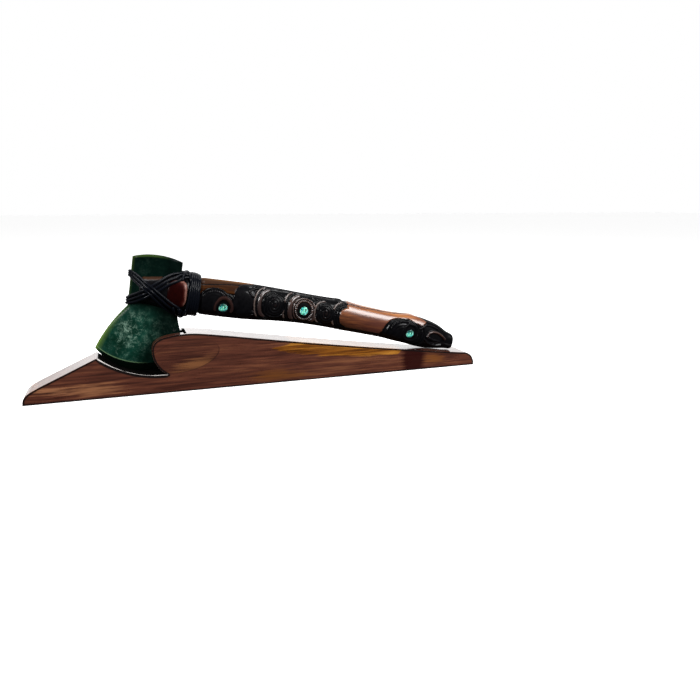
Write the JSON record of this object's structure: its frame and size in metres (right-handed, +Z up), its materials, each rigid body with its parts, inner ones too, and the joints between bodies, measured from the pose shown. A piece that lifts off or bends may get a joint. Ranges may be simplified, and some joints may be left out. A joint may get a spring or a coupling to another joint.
{
  "type": "hafted greenstone adze",
  "caption": "Flared greenstone blade gripped and cord-bound in the forked head of a carved wooden haft with shell eyes, resting on its long wooden display stand.",
  "frame": {"origin": "under the middle of the stand's length and thickness, on the surface that it stands on", "axes": "+X along the stand from its low sloped nose to its rounded tail, +Y through its thickness, +Z up"},
  "size_m": [0.46, 0.0412, 0.1308],
  "materials": {
    "stand_wood": "oiled and polished, red-brown with amber streaks",
    "haft_wood": "polished red-brown, carved parts stained black",
    "greenstone": "ground and polished, dark green with pale clouds",
    "cord": "black waxed cord",
    "shell": "polished iridescent blue-green shell"
  },
  "bodies": {
    "root": {"stand": "stand_wood", "haft": "haft_wood", "blade": "greenstone", "lashing": "cord", "eye_1_near": "shell", "eye_1_far": "shell", "eye_2_near": "shell", "eye_2_far": "shell", "eye_3_near": "shell", "eye_3_far": "shell"}
  },
  "joints": []
}
